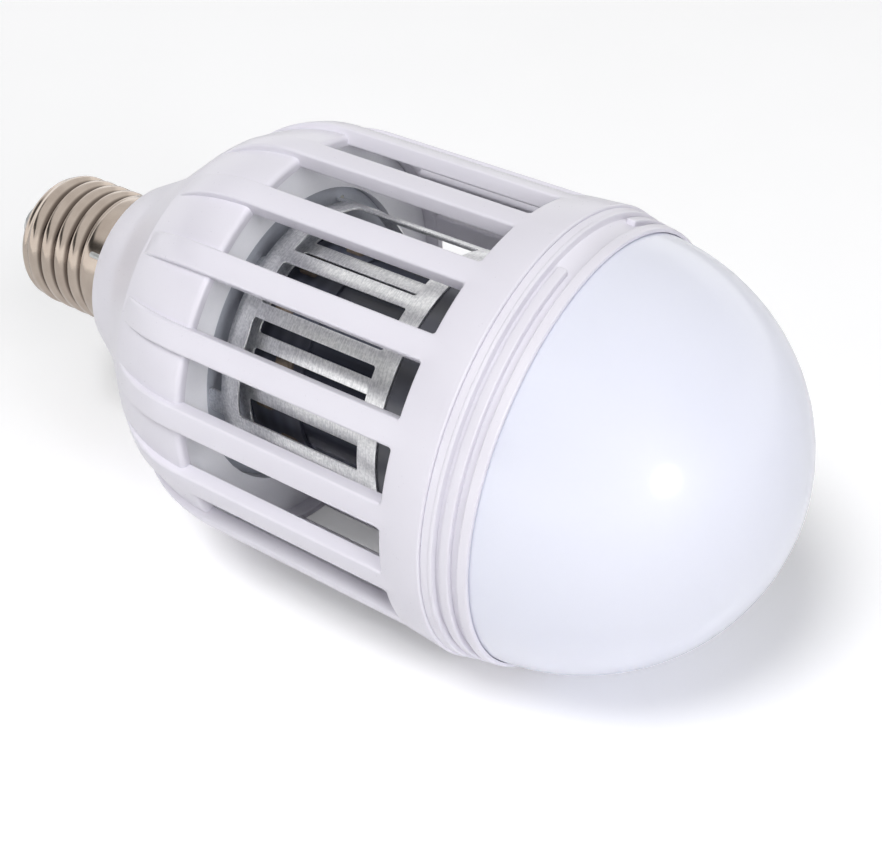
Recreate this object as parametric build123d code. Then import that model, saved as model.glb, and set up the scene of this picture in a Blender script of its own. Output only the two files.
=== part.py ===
"""Insect killer light bulb with an E27 screw cap, lying on its side.

Millimetres. The bulb's axis is +X, from the centre contact's tip at the origin to the dome, and +Z is up.
Angles go round the axis from +Y towards +Z.
"""
from build123d import *
from math import asin, cos, pi, radians, sin, sqrt, tan
import os

# E27 screw cap
contact_radius = 4.3
contact_height = 1.6
insulator_length = 7.6
insulator_flange = 1.2
shell_radius = 13.1
shell_wall = 1.2
curl_length = 4.4
curl_drop = 3.9
curl_flat = 0.4
thread_length = 19.0
skirt_step = 0.15
skirt_wall = 0.4
skirt_length = 4.4

# Housing: neck, shoulder, ribs and band
seam_radius = 40.0
band_flare = 0.6
neck_lip = 0.65
neck_bare = 3.4
neck_step = 3.8
neck_angle = 28.0
neck_length = 9.8
shoulder_angle = 39.3
shoulder_arc = 28.6
rib_height = 1.2
rib_count = 18
rib_width = 4.5
rib_depth = 2.9
rib_phase = 92.0
rib_sink = 0.3
slot_setback = 1.1
slot_length = 42.5
slot_corner = 0.5
band_length = 7.9
housing_wall = 2.0
lip_height = 1.5
lip_width = 1.9
spigot_wall = 2.0
spigot_gap = 2.4

# Plate and holders behind the electrodes
cover_depth = 2.8
cover_thickness = 2.5
cover_margin = 2.4
holder_thickness = 2.0
holder_step = 0.6
hub_wall = 1.5
hub_length = 6.0
wire_hole = 5.0

# Electrodes
sheet = 0.4
electrode_space = 10.9
electrode_gap = 2.4
foot_length = 3.0
foot_width = 4.7
foot_count = 3
outer_setback = 12.6
inner_setback = 8.1
end_ring_width = 3.8
strip_count = 15
strip_width = 2.7
strip_phase = 17.5
outer_foot_phase = 60.0
inner_foot_phase = 0.0

# Core and UV LEDs
core_gap = 3.2
core_wall = 1.6
uv_strip_start = 4.6
uv_strip_width = 11.0
uv_strip_thickness = 0.6
uv_led_count = 15
uv_led_length = 3.5
uv_led_width = 2.8
uv_led_height = 1.0
uv_led_phase = 132.0
uv_row_gap = 3.6

# Front holder, heat plate and white LEDs
flange_thickness = 2.0
plate_thickness = 2.0
plate_hole = 4.0
led_board_margin = 5.0
led_board_thickness = 1.4
inner_led_count = 8
outer_led_count = 16
led_side = 3.0
led_height = 0.7
screw_count = 3
screw_radius = 1.4
screw_length = 8.0
screw_head_radius = 2.7
screw_head_height = 1.7
screw_boss_radius = 3.2
screw_boss_length = 5.0
screw_boss_sink = 0.2

# Collar and dome
collar_length = 7.6
collar_step = 0.3
collar_taper = 1.4
collar_wall = 5.0
channel_start = 2.0
channel_lip = 1.6
channel_depth = 1.0
channel_draft = 0.1
grip_setback = 0.9
grip_width = 1.7
grip_height = 0.8
grip_count = 2
grip_span = 150.0
grip_phase = 102.0
dome_seat_wall = 0.4
dome_margin = 0.6
dome_length = 38.8
dome_drop = 3.0
dome_wall = 1.5

# Driver in the shoulder chamber
board_margin = 0.9
board_thickness = 1.6
board_gap = 7.0
post_radius = 2.2
post_margin = 2.3
post_count = 3
post_phase = 30.0
core_block = (13.0, 13.0, 5.0)
core_leg = 1.8
coil_radius = 4.6
transformer_place = (-0.5, -11.5)
capacitor_radius = 4.0
capacitor_length = 13.0
capacitor_place = (8.5, -3.5)
film_block = (5.0, 10.0, 9.0)
film_places = ((-13.0, -6.0), (-13.0, 4.0))
rectifier_block = (3.0, 8.0, 6.4)
rectifier_place = (6.0, 6.5)
chip_block = (1.5, 4.0, 5.0)
chip_place = (-5.5, 13.0)
choke_radius = 4.0
choke_length = 8.0
choke_place = (14.5, 3.5)
fuse_radius = 1.8
fuse_length = 9.0
fuse_place = (2.5, 12.5)
lead_radius = 0.6
led_lead_offset = 2.0
side_lead_angle = 100.0

clearance = 0.1

# Radii that the housing sets
skirt_radius = shell_radius + skirt_step
shell_bore = shell_radius - shell_wall
curl_radius = shell_radius - curl_drop
curl_bore = curl_radius - curl_flat
neck_radius = skirt_radius + neck_lip
cone_radius = neck_radius + neck_step
rib_circle = seam_radius - band_flare
panel_radius = rib_circle - rib_height
cage_bore = rib_circle - rib_depth
cover_bore = panel_radius - housing_wall
ledge_bore = cover_bore - lip_width
collar_ridge_radius = seam_radius - collar_step
collar_lip_radius = collar_ridge_radius - collar_taper
collar_bore = seam_radius - collar_wall
dome_radius = collar_lip_radius - dome_margin

# Stations along the axis, from the contact's tip
shell_start = insulator_length
curl_inside = shell_start + shell_wall
curl_end = shell_start + curl_length
insulator_front = curl_end + insulator_flange
spigot_start = insulator_front + spigot_gap
thread_end = shell_start + thread_length
neck_start = thread_end + skirt_length
cone_start = neck_start + neck_bare
bend_start = cone_start + neck_length
bend_radius = cone_radius + neck_length * tan(radians(neck_angle))
crease_radius = rib_circle - shoulder_arc * (1 - cos(radians(shoulder_angle)))
crease_start = bend_start + (crease_radius - bend_radius) / tan(radians(shoulder_angle))
shoulder_end = crease_start + shoulder_arc * sin(radians(shoulder_angle))
slot_start = shoulder_end + slot_setback
band_start = slot_start + slot_length
seam = band_start + band_length
collar_end = seam + collar_length
dome_seat = collar_end - channel_lip + dome_seat_wall
dome_centre = dome_seat - dome_drop
cover_front = slot_start - cover_depth
cover_back = cover_front - cover_thickness
holder_front = cover_back + holder_step
flange_back = band_start + lip_height
flange_front = flange_back + flange_thickness
plate_front = flange_front + plate_thickness
led_board_front = plate_front + led_board_thickness
electrode_start = holder_front + foot_length
outer_end = flange_back - outer_setback
inner_end = flange_back - inner_setback
window_start = electrode_start + end_ring_width
window_end = outer_end - end_ring_width
board_front = cover_back - holder_thickness - board_gap
board_back = board_front - board_thickness

# The panels' arc, level at the slots, from the crease
panel_run = slot_start - crease_start
panel_drop = panel_radius - crease_radius
panel_arc = (panel_run**2 + panel_drop**2) / (2 * panel_drop)
panel_lean = asin(panel_run / panel_arc)

# Radii that follow from the cage's bore, inwards
outer_electrode_radius = cage_bore - electrode_space
inner_electrode_radius = outer_electrode_radius - sheet - electrode_gap
core_radius = inner_electrode_radius - core_gap
core_bore = core_radius - core_wall
hub_bore = core_bore - hub_wall
cover_hole = outer_electrode_radius + cover_margin
board_radius = outer_electrode_radius + board_margin
post_circle = board_radius - post_radius - post_margin
screw_circle = hub_bore - screw_boss_radius + screw_boss_sink
led_board_radius = cage_bore - led_board_margin
inner_led_circle = screw_circle + screw_head_radius + led_side
outer_led_circle = led_board_radius - led_side
side_lead_reach = shell_bore - spigot_wall - lead_radius - 2 * clearance
dome_base = dome_radius * sqrt(1 - (dome_drop / dome_length) ** 2)


def drum(start, end, radius, bore=0):
    """A disc or tube on the axis, between two stations."""
    section = Circle(radius) - Circle(bore) if bore else Circle(radius)
    return extrude(Plane(origin=(start, 0, 0), z_dir=(1, 0, 0)) * section, end - start)


def turned(*lines):
    """A solid turned about the axis from a closed outline of (station, radius) lines."""
    outline = Wire(Curve() + list(lines))
    return revolve(Plane.XZ * make_face(outline), Axis.X, 360)


def turned_points(*points):
    """A solid turned about the axis from straight runs between (station, radius) points."""
    return turned(Polyline(*points, close=True))


def around(piece, count, phase=0.0):
    """Copies of a piece spaced evenly round the axis, the first turned by phase."""
    return [Rot(phase + 360 * i / count, 0, 0) * piece for i in range(count)]


def block_at(start, size, place):
    """A block with its low X face at a station, centred on a (y, z) place."""
    return Pos(start + size[0] / 2, *place) * Box(*size)


def rod_at(start, end, radius, place):
    """A round rod along X, centred on a (y, z) place."""
    return Pos(0, *place) * drum(start, end, radius)


def save(name, shape):
    """Writes one node, as a solid or as a group of separate solids."""
    solids = shape if isinstance(shape, list) else shape.solids()
    whole = solids[0] if len(solids) == 1 else Compound(children=list(solids))
    whole.label = name
    export_step(whole, f"parts/{name}.step")


def screw_shell():
    """Shell of the cap: the thread's band, a curled end and a smooth skirt."""
    step = thread_end + skirt_wall
    curl = (shell_start, curl_radius)
    crest = (curl_end, shell_radius)
    inside = TangentArc((curl_end, shell_bore), (curl_inside, curl_bore), tangent=(-1, 0))
    rim = Polyline(curl, (shell_start, curl_bore), (curl_inside, curl_bore))
    skirt = Polyline(
        (curl_end, shell_bore),
        (step, shell_bore),
        (step, skirt_radius - skirt_wall),
        (neck_start, skirt_radius - skirt_wall),
        (neck_start, skirt_radius),
        (step, skirt_radius),
        (thread_end, shell_radius),
        crest,
    )
    return turned(rim, inside, skirt, TangentArc(crest, curl, tangent=(-1, 0)))


def cap_insulator():
    """Black cone that closes the shell's end and fills its curl."""
    fill = (curl_end, shell_bore - clearance)
    neck = (curl_inside + clearance, curl_bore - clearance)
    outline = Polyline(
        fill,
        (insulator_front, shell_bore - clearance),
        (insulator_front, lead_radius + clearance),
        (contact_height, lead_radius + clearance),
        (contact_height, contact_radius + curl_flat),
        (shell_start, curl_bore - clearance),
        neck,
    )
    return turned(outline, TangentArc(fill, neck, tangent=(-1, 0)))


def centre_contact():
    """Flat disc with a soldered bump, which touches the lamp holder's spring."""
    bump = contact_height / 2
    bump_sphere = (contact_radius**2 + bump**2) / (2 * bump)
    disc = drum(bump, contact_height, contact_radius)
    cut = drum(0, bump, contact_radius) & Pos(bump_sphere, 0, 0) * Sphere(bump_sphere)
    return disc + cut


def neck_outline(inset):
    """Lines of the cone and shoulder, up to the slots, moved in square to the surface."""
    neck = radians(neck_angle)
    shoulder = radians(shoulder_angle)
    half = (neck + shoulder) / 2
    reach = inset / cos((shoulder - neck) / 2)
    start = (cone_start, cone_radius - inset / cos(neck))
    bend = (bend_start + reach * sin(half), bend_radius - reach * cos(half))
    end = (slot_start, panel_radius - inset)
    return [Line(start, bend), Line(bend, crease(inset)), TangentArc(end, crease(inset), tangent=(-1, 0))]


def crease(inset):
    """Where the shoulder's cone meets the panels' arc, moved in square to the arc."""
    return (crease_start + inset * sin(panel_lean), crease_radius - inset * cos(panel_lean))


def turned_neck(inset):
    """The cone and shoulder as a full solid of revolution, moved in by an inset."""
    outline = neck_outline(inset)
    start = outline[0] @ 0
    end = outline[-1] @ 0
    low = (start.X, 0)
    high = (end.X, 0)
    return turned(*outline, Line(end, high), Line(high, low), Line(low, start))


def shoulder_shell():
    """Hollow neck and shoulder with the cover's ledge, and the spigot inside the cap."""
    spigot_bore = shell_bore - spigot_wall
    collar_start = thread_end + skirt_wall + clearance
    body = turned_neck(0) - turned_neck(housing_wall)
    body += drum(cover_back - lip_height, cover_back, panel_radius - housing_wall / 2, ledge_bore)
    body += drum(cone_start, cone_start + housing_wall, cone_radius, spigot_bore)
    body += drum(neck_start, cone_start, neck_radius, spigot_bore)
    body += drum(collar_start, neck_start, skirt_radius - skirt_wall - clearance, spigot_bore)
    return body + drum(spigot_start, neck_start, shell_bore - clearance, spigot_bore)


def cage_ribs():
    """Ribs that rise out of the shoulder and run on as free bars to the band."""
    start = (crease_start, crease_radius - rib_sink)
    sunk = crease(panel_radius - cage_bore)
    bend = (slot_start, cage_bore)
    low = (flange_back, cage_bore)
    high = (flange_back, rib_circle)
    crown = (shoulder_end, rib_circle)
    envelope = turned(
        TangentArc(crown, start, tangent=(-1, 0)),
        Line(start, sunk),
        TangentArc(bend, sunk, tangent=(-1, 0)),
        Line(bend, low),
        Line(low, high),
        Line(high, crown),
    )
    return [envelope & blade for blade in around(rib_blade(), rib_count, rib_phase)]


def rib_blade():
    """A parallel-sided bar, standing off the axis, that widens into the band with round corners."""
    length = band_start - crease_start
    root_width = rib_width + 3 * slot_corner
    plan = Pos(crease_start + length / 2, 0) * Rectangle(length, rib_width)
    plan += Pos(band_start + lip_height / 2, 0) * Rectangle(lip_height, root_width)
    inner = plan.vertices().filter_by(lambda corner: abs(corner.X - band_start) < clearance)
    inner = inner.filter_by(lambda corner: abs(corner.Y) < rib_width / 2 + slot_corner)
    return extrude(Plane.XZ * fillet(inner, slot_corner), -seam_radius)


def cage_band():
    """Wide band at the ribs' dome end, with an inner lip that stops the front holder."""
    return turned_points(
        (band_start, cage_bore - lip_width),
        (band_start, rib_circle),
        (seam, seam_radius),
        (seam, cage_bore),
        (flange_back, cage_bore),
        (flange_back, cage_bore - lip_width),
    )


def cage_housing():
    """One moulding: neck, shoulder, free ribs and band, bored for the cover."""
    body = shoulder_shell() + cage_band()
    for rib in cage_ribs():
        body += rib
    return body - drum(cover_back, slot_start, cover_bore)


def driver_cover():
    """White plate that closes the driver chamber, round the rear holder's step."""
    return drum(cover_back, cover_front, cover_bore - clearance, cover_hole)


def rear_holder():
    """Dark plate with the sleeve's hub and three posts for the driver board."""
    back = cover_back - holder_thickness
    plate = drum(back, cover_back, ledge_bore - clearance)
    plate += drum(cover_back, holder_front, cover_hole - clearance)
    plate += drum(holder_front, holder_front + hub_length, core_bore - clearance, hub_bore)
    post = rod_at(board_front, back, post_radius, (post_circle, 0))
    for copy in around(post, post_count, post_phase):
        plate += copy
    plate -= drum(back, holder_front, wire_hole)
    for place in electrode_lead_places():
        plate -= rod_at(back, holder_front, lead_radius + clearance, place)
    return plate


def windowed_ring(radius, end, phase, foot_phase):
    """Stamped sheet ring with lengthwise windows and feet that stand on the rear holder."""
    window_width = 2 * pi * radius / strip_count - strip_width
    through = 4 * sheet
    middle = (window_start + window_end) / 2
    ring = drum(electrode_start, end, radius, radius - sheet)
    window = Pos(middle, radius, 0) * Box(window_end - window_start, through, window_width)
    for cutter in around(window, strip_count, phase + 180 / strip_count):
        ring -= cutter
    foot_ring = drum(holder_front, electrode_start, radius, radius - sheet)
    foot_block = Pos(holder_front + foot_length / 2, radius, 0) * Box(foot_length, through, foot_width)
    for block in around(foot_block, foot_count, foot_phase):
        ring += foot_ring & block
    return ring


def outer_electrode():
    return windowed_ring(outer_electrode_radius, outer_end, strip_phase, outer_foot_phase)


def inner_electrode():
    """Its strips stand behind the middle of the outer windows."""
    behind = strip_phase + 180 / strip_count
    return windowed_ring(inner_electrode_radius, inner_end, behind, inner_foot_phase)


def core_sleeve():
    return drum(holder_front, flange_back, core_radius, core_bore)


def uv_led_strip():
    start = holder_front + uv_strip_start
    return drum(start, start + uv_strip_width, core_radius + uv_strip_thickness, core_radius)


def uv_leds():
    """Two staggered rows of LEDs round the strip, each seated on its curve."""
    seat = core_radius + uv_strip_thickness
    middle = holder_front + uv_strip_start + uv_strip_width / 2
    leds = []
    for i in range(uv_led_count):
        station = middle - uv_row_gap / 2 + uv_row_gap * (i % 2)
        led = Pos(station, seat, 0) * Box(uv_led_length, 2 * uv_led_height, uv_led_width)
        led -= drum(station - uv_led_length, station + uv_led_length, seat)
        leds.append(Rot(uv_led_phase + 360 * i / uv_led_count, 0, 0) * led.solid())
    return leds


def front_holder():
    """Dark disc in the band, with the boss that the electrodes' dome ends fit."""
    boss_outer = outer_electrode_radius - sheet - clearance
    boss_inner = inner_electrode_radius + clearance
    holder = drum(flange_back, flange_front, cage_bore - clearance)
    holder += drum(window_end, flange_back, boss_outer, boss_inner)
    holder += drum(flange_back - hub_length, flange_back, core_bore - clearance, hub_bore)
    screw_boss = rod_at(flange_back - screw_boss_length, flange_back, screw_boss_radius, (screw_circle, 0))
    hub_inside = drum(flange_back - screw_boss_length, flange_back, core_bore - clearance)
    for boss in around(screw_boss, screw_count):
        holder += boss & hub_inside
    holder -= drum(flange_back, flange_front, wire_hole)
    return drilled_for_screws(holder, flange_back - screw_boss_length, flange_front, screw_radius)


def drilled_for_screws(body, start, end, radius):
    for hole in around(rod_at(start, end, radius, (screw_circle, 0)), screw_count):
        body -= hole
    return body


def heat_plate():
    plate = drum(flange_front, plate_front, cage_bore - clearance, plate_hole)
    return drilled_for_screws(plate, flange_front, plate_front, screw_radius + clearance)


def led_board():
    board = drum(plate_front, led_board_front, led_board_radius)
    return drilled_for_screws(board, plate_front, led_board_front, screw_radius + clearance)


def white_leds():
    """Two rings of square LEDs on the board."""
    leds = []
    for circle, count in ((inner_led_circle, inner_led_count), (outer_led_circle, outer_led_count)):
        led = block_at(led_board_front, (led_height, led_side, led_side), (circle, 0))
        leds += around(led, count, 180 / count)
    return leds


def plate_screws():
    """Pan-head screws through the board and the plate into the front holder."""
    head = rod_at(led_board_front, led_board_front + screw_head_height, screw_head_radius, (screw_circle, 0))
    shank = rod_at(led_board_front - screw_length, led_board_front, screw_radius, (screw_circle, 0))
    return around(head + shank, screw_count)


def collar_ring():
    """Ring over the seam: a channel with raised finger grips, and the dome's seat."""
    lip_slope = collar_taper / collar_length
    spigot = cage_bore - clearance
    channel_end = collar_length - channel_lip
    grip_start = channel_start + grip_setback

    def surface(reach, depth=0.0):
        return (seam + reach, collar_ridge_radius - lip_slope * reach - depth)

    ring = turned_points(
        (plate_front, led_board_radius + clearance),
        (plate_front, spigot),
        (seam, spigot),
        surface(0),
        surface(channel_start),
        surface(channel_start + channel_draft, channel_depth),
        surface(channel_end - channel_draft, channel_depth),
        surface(channel_end),
        surface(collar_length),
        (collar_end, dome_base + clearance),
        (dome_seat, dome_base + clearance),
        (dome_seat, collar_bore),
        (seam, collar_bore),
        (seam, led_board_radius + clearance),
    )
    grip_ring = turned_points(
        surface(grip_start, channel_depth + channel_draft),
        surface(grip_start, channel_depth - grip_height),
        surface(grip_start + grip_width, channel_depth - grip_height),
        surface(grip_start + grip_width, channel_depth + channel_draft),
    )
    for turn in range(grip_count):
        ring += grip_ring & sector(grip_phase + 360 * turn / grip_count, grip_span)
    return ring


def sector(start_angle, span):
    """A wedge of space round the axis, as long as the collar."""
    side = Plane(origin=(seam, 0, 0), x_dir=(0, 1, 0), z_dir=(1, 0, 0))
    reach = 2 * seam_radius
    arc = CenterArc((0, 0), reach, start_angle, span)
    wedge = make_face([arc, Line((0, 0), arc @ 0), Line(arc @ 1, (0, 0))])
    return extrude(side * wedge, collar_length)


def half_ball(length, radius):
    """Half a ball stretched along the axis, towards +X."""
    quarter = Ellipse(length, radius) & Pos(length / 2, radius / 2) * Rectangle(length, radius)
    return Pos(dome_centre, 0, 0) * revolve(Plane.XZ * quarter, Axis.X, 360)


def diffuser_dome():
    """Frosted shell, cut off just past its widest circle."""
    shell = half_ball(dome_length, dome_radius) - half_ball(dome_length - dome_wall, dome_radius - dome_wall)
    return shell - drum(dome_centre - dome_wall, dome_seat, seam_radius)


def driver_board():
    board = drum(board_back, board_front, board_radius)
    for place in ((0, 0), side_lead_place()):
        board -= rod_at(board_back, board_front, lead_radius + clearance, place)
    return board


def on_board(size, place):
    """A block on the board's cap side."""
    return block_at(board_back - size[0], size, place)


def transformer_core():
    """Ferrite block with two windows, which leave a round middle leg for the coil."""
    depth, width, height = core_block
    middle = board_back - depth / 2
    window = Box(coil_length(), 2 * (coil_radius + clearance), height)
    frame = on_board(core_block, transformer_place) - Pos(middle, *transformer_place) * window
    return frame + rod_at(middle - depth / 2, middle + depth / 2, core_leg, transformer_place)


def coil_length():
    return core_block[0] - 2 * core_leg


def transformer_coil():
    middle = board_back - core_block[0] / 2
    coil = drum(middle - coil_length() / 2, middle + coil_length() / 2, coil_radius, core_leg + clearance)
    return Pos(0, *transformer_place) * coil


def electrolytic_capacitor():
    return rod_at(board_back - capacitor_length, board_back, capacitor_radius, capacitor_place)


def film_capacitors():
    return [on_board(film_block, place) for place in film_places]


def choke():
    """Drum core: two flanges and a narrower winding."""
    start = board_back - choke_length
    flange = choke_length / 6
    body = rod_at(start, board_back, choke_radius - flange / 2, choke_place)
    body += rod_at(board_back - flange, board_back, choke_radius, choke_place)
    return body + rod_at(start, start + flange, choke_radius, choke_place)


def fuse_resistor():
    return rod_at(board_back - fuse_length, board_back, fuse_radius, fuse_place)


def side_lead_place():
    """Where the side lead runs along the spigot's inside, as (y, z)."""
    angle = radians(side_lead_angle)
    return (side_lead_reach * cos(angle), side_lead_reach * sin(angle))


def side_lead():
    """Wire from the board to the shell, bent out past the end of the spigot."""
    turn = spigot_start - 2 * lead_radius
    corner = (turn, side_lead_reach)
    path = FilletPolyline((board_front, side_lead_reach), corner, (turn, shell_bore), radius=2 * lead_radius)
    section = Plane(origin=(board_front, 0, side_lead_reach), z_dir=(-1, 0, 0)) * Circle(lead_radius)
    return Rot(side_lead_angle - 90, 0, 0) * sweep(section, Plane.XZ * path)


def centre_lead():
    return rod_at(contact_height, board_front, lead_radius, (0, 0))


def led_leads():
    """Two wires from the board, through the core, to the LED board's back."""
    return [rod_at(board_front, plate_front, lead_radius, (side * led_lead_offset, 0)) for side in (-1, 1)]


def electrode_lead_places():
    """Behind a foot of each electrode, as (y, z)."""
    outer = (outer_electrode_radius, outer_foot_phase)
    inner = (inner_electrode_radius, inner_foot_phase)
    places = []
    for radius, phase in (outer, inner):
        reach = radius - sheet / 2
        places.append((reach * cos(radians(phase)), reach * sin(radians(phase))))
    return places


def electrode_leads():
    return [rod_at(board_front, holder_front, lead_radius, place) for place in electrode_lead_places()]


os.makedirs("parts", exist_ok=True)

save("screw_shell", screw_shell())
save("cap_insulator", cap_insulator())
save("centre_contact", centre_contact())
save("cage_housing", cage_housing())
save("driver_cover", driver_cover())
save("rear_holder", rear_holder())
save("outer_electrode", outer_electrode())
save("inner_electrode", inner_electrode())
save("core_sleeve", core_sleeve())
save("uv_led_strip", uv_led_strip())
save("uv_leds", uv_leds())
save("front_holder", front_holder())
save("heat_plate", heat_plate())
save("led_board", led_board())
save("white_leds", white_leds())
save("plate_screws", plate_screws())
save("collar_ring", collar_ring())
save("diffuser_dome", diffuser_dome())
save("driver_board", driver_board())
save("transformer_core", transformer_core())
save("transformer_coil", transformer_coil())
save("electrolytic_capacitor", electrolytic_capacitor())
save("film_capacitors", film_capacitors())
save("rectifier", on_board(rectifier_block, rectifier_place))
save("driver_chip", on_board(chip_block, chip_place))
save("choke", choke())
save("fuse_resistor", fuse_resistor())
save("centre_lead", centre_lead())
save("side_lead", side_lead())
save("led_leads", led_leads())
save("electrode_leads", electrode_leads())
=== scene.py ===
# %% [markdown]
# # An insect killer light bulb, dressed in Blender
#
# The real object is a screw-in lamp that lies on its side on a white table. A ribbed white cage lets
# insects reach two windowed electrodes, and a frosted dome at the other end spreads the light of the
# white LEDs. The CAD model already has every part in its place. This notebook keeps that frame, gives
# each part the finish of the real material, and rebuilds the parts whose surface needs more than a
# plain solid: rounded edges, a real screw thread, blended corners and thin stamped sheet.

# %% Load the fixed frame
from math import pi, radians, sin

import bmesh
import bpy
import numpy as np
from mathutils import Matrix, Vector


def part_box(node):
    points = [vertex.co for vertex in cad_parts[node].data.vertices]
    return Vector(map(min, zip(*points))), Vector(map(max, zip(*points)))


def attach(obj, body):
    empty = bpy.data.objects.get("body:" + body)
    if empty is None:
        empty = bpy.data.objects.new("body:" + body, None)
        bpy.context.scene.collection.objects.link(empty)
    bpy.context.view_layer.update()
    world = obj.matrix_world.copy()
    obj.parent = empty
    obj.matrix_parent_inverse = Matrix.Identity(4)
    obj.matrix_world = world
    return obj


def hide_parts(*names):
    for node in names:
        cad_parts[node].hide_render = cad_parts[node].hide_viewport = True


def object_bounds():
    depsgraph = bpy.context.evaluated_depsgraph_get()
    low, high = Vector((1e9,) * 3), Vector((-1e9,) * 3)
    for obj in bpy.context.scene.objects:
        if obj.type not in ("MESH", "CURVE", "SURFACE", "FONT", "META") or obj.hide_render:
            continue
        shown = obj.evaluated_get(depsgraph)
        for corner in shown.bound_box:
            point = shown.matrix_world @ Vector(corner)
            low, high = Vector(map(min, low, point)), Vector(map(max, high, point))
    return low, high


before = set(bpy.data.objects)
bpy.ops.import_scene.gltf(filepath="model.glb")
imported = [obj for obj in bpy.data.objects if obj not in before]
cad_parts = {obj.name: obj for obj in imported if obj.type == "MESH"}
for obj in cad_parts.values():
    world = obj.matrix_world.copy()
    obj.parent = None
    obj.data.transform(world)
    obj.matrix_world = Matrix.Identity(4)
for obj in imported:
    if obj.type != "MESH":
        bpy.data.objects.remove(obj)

cad_box = [list(corner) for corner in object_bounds()]
print("CAD box in metres:", cad_box)

# %% [markdown]
# ## Units and places
#
# Blender works in metres, and a lamp is easier to think about in millimetres. All shapes below are
# worked out in millimetres and scaled once, when the mesh is made. The lamp's axis is X, from the
# contact's tip at the origin to the dome, and angles go round it from +Y towards +Z. Where a piece
# begins and ends comes from the CAD node that it stands for.

# %% Millimetres, and a node's reach
MM = 0.001
WELD = 0.001  # millimetres within which two points count as one


def span(node):
    """A CAD node's lowest and highest corner, in millimetres."""
    low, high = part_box(node)
    return np.array(low) / MM, np.array(high) / MM


SHELL_START, NECK_START = span("screw_shell")[0][0], span("screw_shell")[1][0]
SEAM = span("cage_housing")[1][0]
SPIGOT_START = span("cage_housing")[0][0]
COVER_BACK = span("driver_cover")[0][0]
FLANGE_BACK = span("core_sleeve")[1][0]
HOLDER_FRONT = span("core_sleeve")[0][0]
print("stations:", [round(float(x), 2) for x in (SHELL_START, NECK_START, FLANGE_BACK, SEAM)])

# %% [markdown]
# ## From grids and outlines to meshes
#
# Nearly every part of a lamp is turned, moulded or pressed round one axis. One way to make such parts
# is Blender's Screw modifier. Here each surface is worked out with numpy instead, because the same
# few functions then also make the ribs, the windows and the thread. A surface is a grid of points,
# and neighbours in the grid become quads.

# %% Quads of a grid
def grid_faces(rows, columns, wrap_rows=False, wrap_columns=False):
    """Corner numbers of the quads between neighbours of a grid that is stored row by row."""
    row = np.arange(rows if wrap_rows else rows - 1)[:, None]
    column = np.arange(columns if wrap_columns else columns - 1)[None, :]
    next_row = (row + 1) % rows
    next_column = (column + 1) % columns
    corners = (
        row * columns + column,
        row * columns + next_column,
        next_row * columns + next_column,
        next_row * columns + column,
    )
    return np.stack(np.broadcast_arrays(*corners), axis=-1).reshape(-1, 4)


def round_axis(station, radius, angle):
    """Points at a station, a radius and an angle: y is radius times cosine, z is radius times sine."""
    station, radius, angle = np.broadcast_arrays(station, radius, angle)
    return np.stack((station, radius * np.cos(angle), radius * np.sin(angle)), axis=-1).reshape(-1, 3)


print("a 3 by 4 grid has", len(grid_faces(3, 4)), "quads")

# %% Outlines with rounded corners, and turning them
TURN_STEPS = 288
CORNER_STEPS = 6


def pairs(first, second):
    """Two columns of numbers side by side; either may be a single number."""
    return np.stack(np.broadcast_arrays(first, second), axis=1)


def unit(vectors):
    """Vectors scaled to length one."""
    return vectors / np.maximum(np.linalg.norm(vectors, axis=-1, keepdims=True), 1e-9)


def outline(*corners):
    """Points round a closed outline of corners: station, radius and, if it has one, a rounding.

    A rounded corner is an arc that touches both sides. Its centre lies on the corner's bisector, the
    rounding over the sine of the half angle away, and the arc starts and ends the rounding over the
    tangent of the half angle back along the sides.
    """
    rows = np.array([(*corner, 0.0)[:3] for corner in corners])
    corner, rounding = rows[:, :2], rows[:, 2:]
    before = unit(np.roll(corner, 1, axis=0) - corner)
    after = unit(np.roll(corner, -1, axis=0) - corner)
    half = np.arccos(np.clip((before * after).sum(axis=1, keepdims=True), -1, 1)) / 2
    centre = corner + unit(before + after) * rounding / np.sin(half)
    start = corner + before * rounding / np.tan(half) - centre
    end = corner + after * rounding / np.tan(half) - centre
    crossed = start[:, :1] * end[:, 1:] - start[:, 1:] * end[:, :1]
    turn = np.arctan2(crossed, (start * end).sum(axis=1, keepdims=True))
    angle = np.arctan2(start[:, 1:], start[:, :1]) + turn * np.linspace(0, 1, CORNER_STEPS)
    arcs = centre[:, None] + rounding[:, None] * np.stack((np.cos(angle), np.sin(angle)), axis=-1)
    points = arcs.reshape(-1, 2)
    moved = np.linalg.norm(points - np.roll(points, 1, axis=0), axis=1)
    return points[moved > WELD]


def turned(profile, closed=True):
    """A profile of (station, radius) points swept round the axis."""
    angle = np.arange(TURN_STEPS) * 2 * pi / TURN_STEPS
    points = round_axis(profile[:, :1], profile[:, 1:], angle)
    return points, grid_faces(len(profile), TURN_STEPS, closed, True)


print("a rounded square has", len(outline((0, 1, 0.2), (2, 1, 0.2), (2, 3, 0.2), (0, 3, 0.2))), "points")

# %% One mesh object from several shells
SHARP_ANGLE = 40
made_pieces = []


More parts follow.
